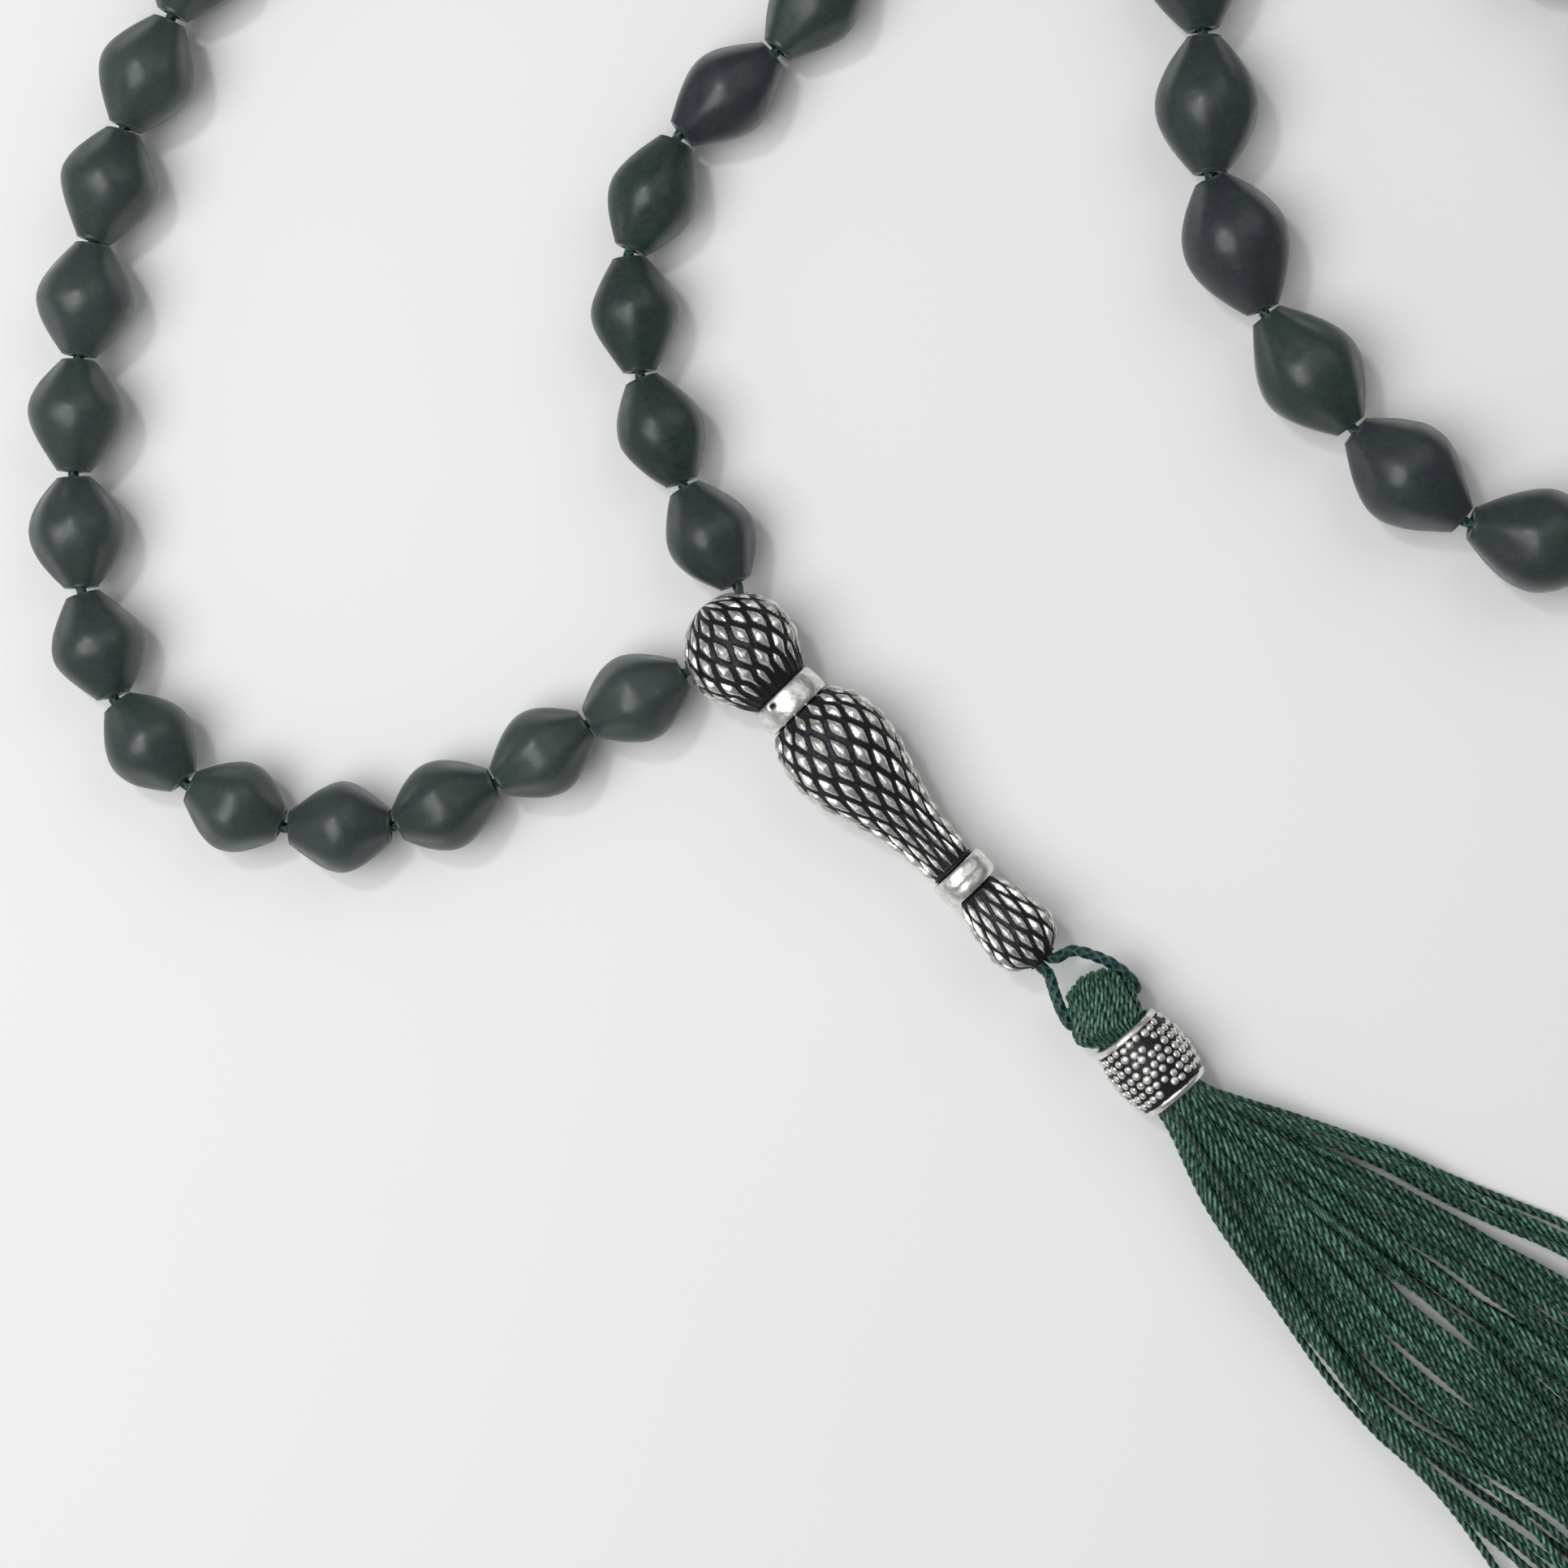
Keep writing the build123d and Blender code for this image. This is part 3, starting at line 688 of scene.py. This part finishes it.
def imame_casting():
    """Casting covered in rows of raised scales, with sunk holes where the cords come out."""
    profile = imame_profile()
    along, radius = profile.T
    angle_from_top = 90 - np.degrees(ring_angles(IMAME_SIDES))
    covers = [scales(place, angle_from_top) for place in along]
    shape = np.array([cover[0] for cover in covers])
    ridge = np.array([cover[1] for cover in covers])
    raised = np.clip(shape, 0, 1)
    head = np.array([0, 0, HEAD_RADIUS])
    surface = lathe(head, IMAME_AXIS, along, radius[:, None] * np.ones((1, IMAME_SIDES)))
    patches = noise_at(surface, 0.8, 3)
    crumbs = noise_at(surface, 0.28, 5)
    ridge = ridge * np.clip(patches * 1.6 + 0.25, 0, 1)
    outer = np.arange(len(along)) < len(along) - len(BORE_OUTLINE)
    cover = (1 - (1 - raised) ** 1.6) * RELIEF + ridge * RIDGE_HEIGHT + crumbs * CRUMB_HEIGHT
    depth = np.where(outer[:, None], RELIEF * 0.95 - cover, 0)
    in_band = np.zeros(len(along))
    for band in SCALE_BANDS:
        rows = band["rows"]
        inside = eased((along - rows[0] + 1.6) / 0.5) * eased((band["end"] - along) / 0.4)
        in_band = np.maximum(in_band, inside)
    radii = radius[:, None] - depth * in_band[:, None] * np.clip(radius / 2.0, 0, 1)[:, None]
    silver = np.maximum(np.clip(0.24 + shape * 1.3, 0, 1), ridge * 0.52)
    grid = lathe(head, IMAME_AXIS, along, radii)
    for joint in ("loop_swing", "swing_beside_imame"):
        toward = unit(joint_place(joint) - head)
        offset = grid - head
        reach = offset @ toward
        away = np.linalg.norm(offset - reach[:, :, None] * toward, axis=2)
        sunk = eased((SIDE_HOLE_RADIUS + 0.25 - away) / 0.25) * (reach > 2)
        grid = grid - toward * (sunk * SIDE_HOLE_DEPTH)[:, :, None]
        silver = silver * (1 - sunk)
    return shell(grid, {"silver": silver * in_band[:, None]})


def collar_part(size):
    """Polished band, a little dented, with a pit in the upper one and a low step round the lower one."""
    share = np.linspace(0, 1, COLLAR_RINGS)
    places = size["start"] + share * (size["end"] - size["start"])
    edge = 1 - np.abs(2 * share - 1) ** 5
    crown = size["radius"] - 0.22 + 0.16 * edge + 0.06 * np.sin(share * math.pi)
    crown = crown - size["step"] * eased((share - 0.47) / 0.06)
    inside = np.full(3, size["inner"])
    along = np.concatenate([places, places[[-1, COLLAR_RINGS // 2, 0]]])
    radii = np.concatenate([crown, inside])[:, None] * np.ones((1, COLLAR_SIDES))
    head = np.array([0, 0, HEAD_RADIUS])
    surface = lathe(head, IMAME_AXIS, along, radii)
    dents = noise_at(surface, 1.5, 9)
    fine = noise_at(surface, 0.5, 11)
    outer = radii > size["inner"] + 0.1
    radii = radii + np.where(outer, 0.035 * dents + 0.02 * fine, 0)
    silver = np.where(outer, 1.0, 0.3)
    if size is UPPER_COLLAR:
        angle = 90 - np.degrees(ring_angles(COLLAR_SIDES))[None, :]
        sideways = np.radians(angle - PIT_PLACE[1]) * size["radius"] * 0.6
        off = np.hypot(along[:, None] - PIT_PLACE[0], sideways)
        pit = eased((PIT_RADIUS - off) / 0.2) * outer
        radii = radii - PIT_DEPTH * pit
        silver = silver * (1 - pit)
    return shell(lathe(head, IMAME_AXIS, along, radii), {"silver": silver}, loop=True)


def make_imame():
    pieces = (
        ("imame_relief", imame_casting(), OXIDISED, "imame_casting"),
        ("upper_band", collar_part(UPPER_COLLAR), POLISHED, "upper_collar"),
        ("lower_band", collar_part(LOWER_COLLAR), POLISHED, "lower_collar"),
    )
    for name, part, material, node in pieces:
        piece = mesh_piece(name, [part], material)
        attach(piece, "imame")
        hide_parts(node)


# ---------------------------------------------------------------- hanger
def make_hanger():
    def beside_fold(along, across, height):
        point = FOLD + NECK_AXIS * along + FOLD_ACROSS * across
        return np.array([point[0], point[1], height])

    across = np.cross(UP, IMAME_AXIS)
    legs = []
    for bends, side in ((UPPER_LEG, 1), (LOWER_LEG, -1)):
        start = HANGER_PIVOT + across * LEG_OFFSET * side
        leg = [start - IMAME_AXIS * 2.0, start]
        for step, (along, sideways) in enumerate(bends, start=1):
            height = HANGER_PIVOT[2] + (FOLD[2] - HANGER_PIVOT[2]) * step / len(bends)
            leg.append(beside_fold(along, sideways, height))
        legs.append(leg)
    turns = [beside_fold(0.12, 2.5, FOLD[2]), beside_fold(0.0, 1.8, FOLD[2])]
    back = [beside_fold(0.0, -1.8, FOLD[2]), beside_fold(0.12, -2.5, FOLD[2])]
    corners = [*legs[0], *turns, *back, *reversed(legs[1])]
    piece = mesh_piece("hanger_braid", [braided_cord(corners, HANGER_RADIUS)], CORD)
    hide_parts("hanger_cord")
    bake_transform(piece)


# ---------------------------------------------------------------- tassel
def packed_disc(count, radius):
    """Places of threads packed in a round bundle, from the middle outwards."""
    number = np.arange(count) + 0.5
    away = radius * np.sqrt(number / count)
    turn = number * math.pi * (3 - math.sqrt(5))
    return np.stack([away * np.cos(turn), away * np.sin(turn)], axis=1)


def make_neck():
    """Skein of threads looped over the hanger cord, bulging on one side, then drawn into the sleeve."""
    draw = np.random.default_rng(8)
    sleeve_across = np.cross(UP, SLEEVE_AXIS)
    parts = []
    for layer, widest in SKEIN_LAYERS:
        count = round(2 * widest / SKEIN_SPACING) + 1
        for sideways in np.linspace(-widest, widest, count):
            layer_here = layer + draw.uniform(-0.06, 0.06)
            ends = []
            for level in (1, -1):
                pull = 1.95 / max(1.95, math.hypot(sideways, layer))
                bulge = SKEIN_BULGE * sideways - 0.35 + draw.uniform(-0.22, 0.22)
                start = FOLD + NECK_AXIS * 1.5 + FOLD_ACROSS * bulge + UP * layer_here * level * 1.06
                mouth = SLEEVE_START + SLEEVE_AXIS * 0.35
                tucked = sleeve_across * sideways * pull + UP * layer * level * pull
                ends.append([start, mouth + tucked, mouth + tucked * 0.97 + SLEEVE_AXIS * 3.6])
            fold = []
            spread = SKEIN_BULGE * sideways + draw.uniform(-0.12, 0.12)
            reach = 1.29 * math.sqrt(1 - (spread / 3.1) ** 2)
            for turn in np.radians([-70, -35, 0, 35, 70]):
                away = -NECK_AXIS * math.cos(turn) * reach - UP * math.sin(turn)
                fold.append(FOLD + FOLD_ACROSS * spread + away * layer_here)
            path = smooth_path([*reversed(ends[0]), *fold, *ends[1]], 0.16)
            parts.append(twisted_thread(path, draw.uniform(0, 6.28), SKEIN_THREAD_RADIUS, pitch=2.2))
    piece = mesh_piece("skein", parts, THREAD)
    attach(piece, "tassel")
    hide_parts("tassel_neck")


def skirt_lanes(draw):
    """Where each thread runs across the fan, from -1 to 1: a few strays, a full middle and some set apart.

    Also how far each is gathered in from the fan's lower edge, which leaves the strays apart from it.
    """
    middle_threads = SKIRT_THREADS - STRAY_THREADS - APART_THREADS
    middle = np.linspace(-0.8, 0.7, middle_threads) + draw.uniform(-0.03, 0.03, middle_threads)
    apart = np.linspace(0.87, 1.0, APART_THREADS)
    strays = np.linspace(-0.92, -0.8, STRAY_THREADS) + draw.uniform(-0.02, 0.02, STRAY_THREADS)
    gathered = np.concatenate([
        np.linspace(0, 0.9, STRAY_THREADS), np.clip((-middle - 0.2) / 0.6, 0, 1), np.zeros(APART_THREADS),
    ])
    return np.concatenate([strays, middle, apart]), gathered


def skirt_thread(lane, gathered, packed, draw):
    """One thread from inside the sleeve's mouth down the fan, with its own drift and waves."""
    length = SKIRT_LENGTH - draw.uniform(0, 5.0)
    distance = np.linspace(-3.0, length, 70)
    width, height, middle = (
        np.interp(distance, SKIRT_SECTIONS[:, 0], SKIRT_SECTIONS[:, column]) for column in (1, 2, 3)
    )
    spread = eased((distance + 1.0) / 19.0)
    drift = draw.uniform(-0.08, 0.08) * np.clip(distance / 50, 0, 1)
    waves = sum(
        draw.uniform(0.1, 0.6) * np.sin(distance / reach + draw.uniform(0, 6.28))
        for reach in (4.5, 8.0, 13.0)
    )
    layer = draw.uniform(-1, 1)
    sideways = (packed[0] * (1 - spread) / BUNDLE_RADIUS + (lane + drift) * spread) * width
    sideways = sideways + waves * np.clip((distance - 4) / 26, 0, 1)
    sideways = sideways + gathered * SKIRT_GATHER * width * eased((distance - 22) / 26)
    sideways = sideways - SKIRT_BOW * max(0.0, 0.25 - lane) * np.exp(-((distance - 8) / 7) ** 2)
    level = middle + (packed[1] / BUNDLE_RADIUS * (1 - spread) + layer * spread) * height
    level = np.maximum(level, THREAD_RADIUS)
    straight = np.clip(-distance, 0, None)[:, None]
    path = SKIRT_PIVOT + SKIRT_AXIS * np.clip(distance, 0, None)[:, None] - SLEEVE_AXIS * straight
    path = path + np.cross(UP, SKIRT_AXIS) * sideways[:, None]
    path[:, 2] = level
    return twisted_thread(smooth_path(path, 0.18), draw.uniform(0, 6.28))


def make_skirt():
    draw = np.random.default_rng(30)
    lanes, gathers = skirt_lanes(draw)
    packed = packed_disc(len(lanes), 1.85)
    packed = packed[np.argsort(packed[:, 0])]
    parts = [skirt_thread(*places, draw) for places in zip(lanes, gathers, packed)]
    for bunch in range(SKIRT_BUNCHES):
        piece = mesh_piece(f"threads_{bunch + 1}", parts[bunch::SKIRT_BUNCHES], THREAD)
        if bunch == 0:
            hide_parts("tassel_threads")
        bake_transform(piece)


# ---------------------------------------------------------------- sleeve
def sleeve_radius(place):
    """Outside radius of the sleeve's ground at this distance from its top."""
    share = 2 * place / SLEEVE_LENGTH - 1
    return SLEEVE_BELLY_RADIUS - 0.2 - (SLEEVE_BELLY_RADIUS - SLEEVE_RIM_RADIUS - 0.05) * share ** 2


def sleeve_barrel():
    """Barrel with a plain raised rim at each end, open from end to end."""
    places = np.linspace(0, SLEEVE_LENGTH, 61)
    radius = sleeve_radius(places)
    from_end = np.minimum(places, SLEEVE_LENGTH - places)
    on_rim = eased((SLEEVE_RIM + 0.06 - from_end) / 0.12)
    radius = radius + 0.2 * on_rim - 0.12 * eased((0.12 - from_end) / 0.12)
    along = np.concatenate([places, np.linspace(SLEEVE_LENGTH, 0, 9)])
    radii = np.concatenate([radius, np.full(9, SLEEVE_BORE)])[:, None] * np.ones((1, SLEEVE_SIDES))
    surface = lathe(SLEEVE_START, SLEEVE_AXIS, along, radii)
    outer = (np.arange(len(along)) < len(places))[:, None]
    radii = radii + outer * (0.03 * noise_at(surface, 0.9, 21) + 0.015 * noise_at(surface, 0.3, 22))
    silver = np.concatenate([on_rim, np.full(9, 0.2)])[:, None] * np.ones((1, SLEEVE_SIDES))
    ragged = noise_at(surface, 0.45, 23)
    silver = np.clip(silver + 0.5 * ragged * (silver > 0.05), 0, 1)
    return shell(lathe(SLEEVE_START, SLEEVE_AXIS, along, radii), {"silver": silver}, loop=True)


def grain(place, angle, size):
    """Small silver ball sunk a little into the sleeve's surface."""
    across = np.cross(UP, SLEEVE_AXIS)
    outward = math.cos(angle) * across + math.sin(angle) * UP
    centre = SLEEVE_START + SLEEVE_AXIS * place + outward * (sleeve_radius(place) - 0.02)
    polar = np.linspace(math.pi - 0.9, 0.12, 8)
    ones = np.ones((1, GRAIN_SIDES))
    radius = np.sin(polar)[:, None] ** 0.75 * size * ones
    grid = lathe(centre, outward, np.cos(polar) * size * GRAIN_FLATNESS, radius, SLEEVE_AXIS)
    shine = np.clip((np.cos(polar) + 0.15) * 2.2, 0, 1)[:, None] * ones
    return shell(grid, {"silver": shine})


def make_sleeve():
    draw = np.random.default_rng(12)
    parts = [sleeve_barrel()]
    rows = np.arange(0.95, SLEEVE_LENGTH - 0.85, GRAIN_ROW_PITCH)
    around = round(2 * math.pi * SLEEVE_BELLY_RADIUS / GRAIN_PITCH)
    for row, place in enumerate(rows):
        for step in range(around):
            shift, lift, skip = draw.uniform(-0.12, 0.12), draw.uniform(-0.11, 0.11), draw.random()
            if skip < GRAINS_MISSING:
                continue
            angle = (step + row % 2 / 2 + shift) * 2 * math.pi / around
            parts.append(grain(place + lift, angle, GRAIN_RADIUS * draw.uniform(0.86, 1.05)))
    piece = mesh_piece("granulated_sleeve", parts, OXIDISED)
    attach(piece, "sleeve")
    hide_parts("tassel_sleeve")


# ---------------------------------------------------------------- stage
def make_floor():
    size, level = FLOOR_HALF_WIDTH, FLOOR_LEVEL
    mesh = bpy.data.meshes.new("floor")
    corners = [(-size, -size, level), (size, -size, level), (size, size, level), (-size, size, level)]
    mesh.from_pydata(corners, [], [(0, 1, 2, 3)])
    g = Graph("floor")
    mottle = g.mix(g.noise(40.0), (0.94, 0.94, 0.94), (0.96, 0.96, 0.96))
    mesh.materials.append(g.finish(Base_Color=mottle, Roughness=0.7))
    floor = bpy.data.objects.new("floor", mesh)
    bpy.context.scene.collection.objects.link(floor)


def add_area_light(name, place, size, power):
    data = bpy.data.lights.new(name, "AREA")
    data.shape = "DISK"
    data.size = size
    data.energy = power
    lamp = bpy.data.objects.new(name, data)
    lamp.location = place
    lamp.rotation_euler = (-Vector(place)).to_track_quat("-Z", "Y").to_euler()
    bpy.context.scene.collection.objects.link(lamp)


def make_light():
    """Soft light, brighter from the left, so that metal shows light and dark sides."""
    world = bpy.data.worlds.new("studio")
    world.use_nodes = True
    bpy.context.scene.world = world
    tree = world.node_tree
    where = tree.nodes.new("ShaderNodeTexCoord")
    toward = tree.nodes.new("ShaderNodeVectorMath")
    toward.operation = "DOT_PRODUCT"
    toward.inputs[1].default_value = tuple(unit(np.array(WORLD_BRIGHT_SIDE)))
    level = tree.nodes.new("ShaderNodeMapRange")
    level.inputs["From Min"].default_value = -0.6
    level.inputs["From Max"].default_value = 1.0
    level.inputs["To Min"].default_value = WORLD_LIGHT[0]
    level.inputs["To Max"].default_value = WORLD_LIGHT[1]
    tree.links.new(where.outputs["Generated"], toward.inputs[0])
    tree.links.new(toward.outputs["Value"], level.inputs["Value"])
    tree.links.new(level.outputs[0], tree.nodes["Background"].inputs["Strength"])
    for light in LIGHTS:
        add_area_light(*light)


def make_camera():
    """Looking straight down, with the frame's middle a little right of and below the imame's head."""
    data = bpy.data.cameras.new("camera")
    data.lens = CAMERA_LENS
    data.sensor_width = CAMERA_SENSOR
    data.clip_start = 0.01
    camera = bpy.data.objects.new("camera", data)
    camera.location = CAMERA_PLACE
    bpy.context.scene.collection.objects.link(camera)
    bpy.context.scene.camera = camera
    bpy.context.scene.view_settings.view_transform = "Standard"


HANGER_PIVOT = joint_place("hanger_swing")
IMAME_AXIS = unit(HANGER_PIVOT - np.array([0, 0, HEAD_RADIUS]))
FOLD = joint_place("tassel_lift")
FOLD_ACROSS = -joint_axis("tassel_lift")
NECK_AXIS = np.cross(FOLD_ACROSS, UP)
SLEEVE_AXIS = joint_axis("sleeve_slide")
SKIRT_PIVOT = joint_place("threads_swing")
SKIRT_AXIS = in_plan(SKIRT_ANGLE)
BEADS = bead_places()

make_beads()
make_loop_cord()
make_core_cord()
make_imame()
make_hanger()
make_neck()
make_skirt()
make_sleeve()
make_floor()
make_light()
make_camera()
